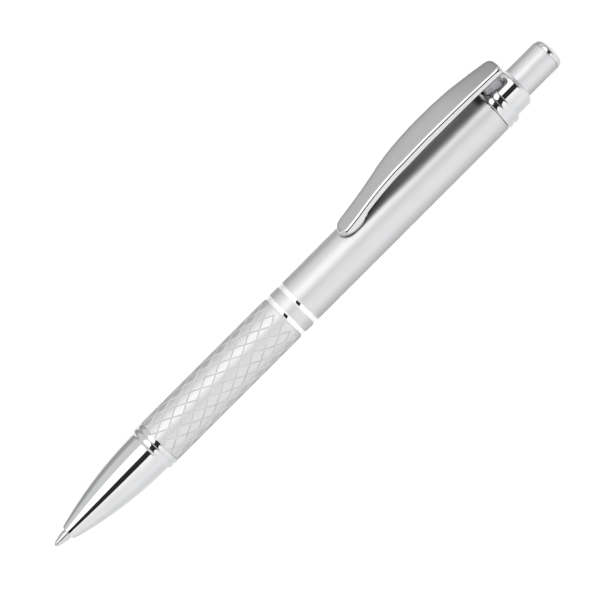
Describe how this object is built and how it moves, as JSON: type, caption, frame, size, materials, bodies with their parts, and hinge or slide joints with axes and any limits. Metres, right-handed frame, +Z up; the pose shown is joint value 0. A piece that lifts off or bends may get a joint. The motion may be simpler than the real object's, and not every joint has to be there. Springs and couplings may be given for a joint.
{
  "type": "retractable ballpoint pen",
  "caption": "Slim metal push-button ballpoint pen with an engraved diamond grip, chrome nose and trim rings, and an arched pocket clip.",
  "frame": {"origin": "middle of the pen's length and width at the height of the surface it lies on, the lowest point of the nose's rear bead", "axes": "+X along the pen's axis from the writing point to the push button, +Z up through the pocket clip, +Y completes the right-handed frame"},
  "size_m": [0.1404, 0.0108, 0.0161],
  "materials": {
    "chrome": "polished chrome plating",
    "satin_silver": "satin silver with very fine grain",
    "brushed_clip": "satin top face with polished edges",
    "brass": "turned",
    "steel": "turned",
    "white_plastic": "moulded",
    "black_plastic": "moulded"
  },
  "bodies": {
    "root": {"nose_cone": "chrome", "grip_barrel": "satin_silver", "lower_trim_ring": "chrome", "centre_band": "satin_silver", "upper_trim_ring": "chrome", "barrel_coupling": "brass", "upper_barrel": "satin_silver", "clip_collar": "chrome", "end_cap": "chrome", "mechanism_housing": "black_plastic", "return_spring": "steel"},
    "button": {"button_sleeve": "satin_silver", "button_end_cap": "chrome", "thrust_tube": "white_plastic"},
    "refill": {"refill_tip": "steel", "writing_ball": "steel", "refill_cone": "brass", "refill_tube": "steel", "refill_end_plug": "white_plastic"},
    "rotor": {"cam_rotor": "white_plastic"},
    "clip": {"clip": "brushed_clip"}
  },
  "joints": [
    {"name": "click", "type": "slide", "parent": "root", "child": "button", "axis": [1, 0, 0], "range_m": [-0.0012, 0.005]},
    {"name": "refill_slide", "type": "slide", "parent": "root", "child": "refill", "axis": [1, 0, 0], "range_m": [-0.0012, 0.005], "deforming": ["return_spring"]},
    {"name": "rotor_turn", "type": "hinge", "parent": "refill", "child": "rotor", "pos_m": [0.03063, 0, 0.00536], "axis": [1, 0, 0], "continuous": true},
    {"name": "clip_flex", "type": "hinge", "parent": "root", "child": "clip", "pos_m": [0.05953, 0, 0.00987], "axis": [0, 1, 0], "range_deg": [0, 2.5], "stiffness_Nm_per_rad": 0.2, "springref_deg": -5.73}
  ],
  "couplings": [
    {"joint": "refill_slide", "follows": "click", "ratio": 1}
  ]
}
